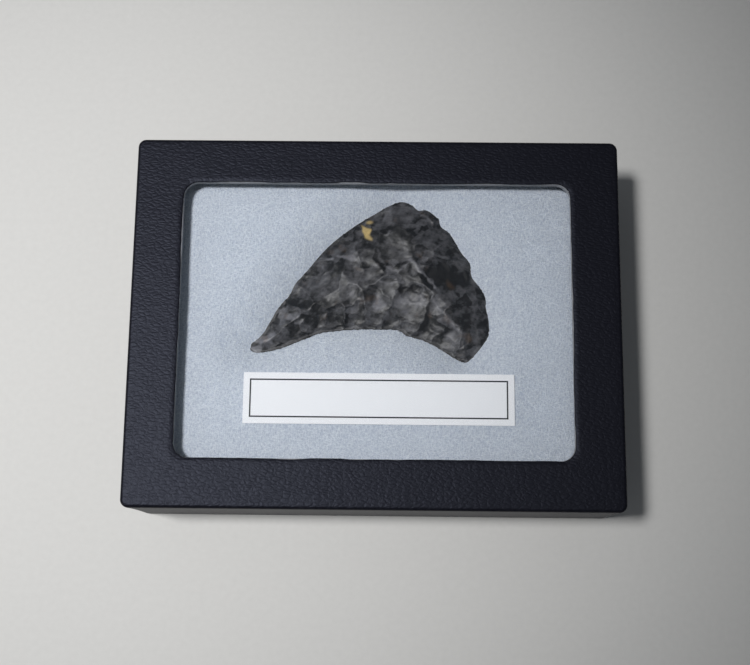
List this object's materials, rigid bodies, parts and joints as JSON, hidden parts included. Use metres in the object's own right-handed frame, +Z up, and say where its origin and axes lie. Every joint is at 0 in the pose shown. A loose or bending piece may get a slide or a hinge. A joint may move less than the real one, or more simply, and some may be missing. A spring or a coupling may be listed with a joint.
{
  "type": "cased stone crescent knife",
  "caption": "Knapped dark flint crescent knife with a hollowed edge, lying on white batting over a bare label in a black card case whose glazed lid lifts off.",
  "frame": {"origin": "on the surface that the case lies on, under the middle of the closed case", "axes": "+X along the case's long side, to the right of someone reading the label; +Y away from that reader, towards the knife's arched back; +Z up through the glass"},
  "size_m": [0.108, 0.0826, 0.0254],
  "materials": {
    "flint": "knapped dark grey flint, waxy, with lighter grey flake scars and a small tan patch of rind",
    "batting": "bluish-white polyester batting, matt and fibrous",
    "label": "smooth white label paper with a thin dark ruled border",
    "glass": "clear window glass with seamed edges",
    "leatherette": "black leather-grained paper, satin",
    "black_paper": "matt black covering paper",
    "board": "grey chipboard",
    "kraft": "brown gummed stay paper",
    "tape": "off-white gummed paper tape"
  },
  "bodies": {
    "tray": {"tray_board": "board", "tray_wrap": "black_paper", "tray_stay_1": "kraft", "tray_stay_2": "kraft", "tray_stay_3": "kraft", "tray_stay_4": "kraft"},
    "filling": {"batting_pad": "batting", "label_card": "label"},
    "knife": {"crescent_knife": "flint"},
    "lid": {"lid_board": "board", "lid_wrap": "leatherette", "lid_stay_1": "kraft", "lid_stay_2": "kraft", "lid_stay_3": "kraft", "lid_stay_4": "kraft", "glass_pane": "glass", "glass_tape_left": "tape", "glass_tape_right": "tape", "glass_tape_front": "tape", "glass_tape_back": "tape"}
  },
  "joints": [
    {"name": "pad_lift", "type": "slide", "parent": "tray", "child": "filling", "axis": [0, 0, 1], "range_m": [0, 0.03]},
    {"name": "knife_lift", "type": "slide", "parent": "filling", "child": "knife", "axis": [0, 0, 1], "range_m": [0, 0.03]},
    {"name": "lid_lift", "type": "slide", "parent": "knife", "child": "lid", "axis": [0, 0, 1], "range_m": [0, 0.05]}
  ]
}
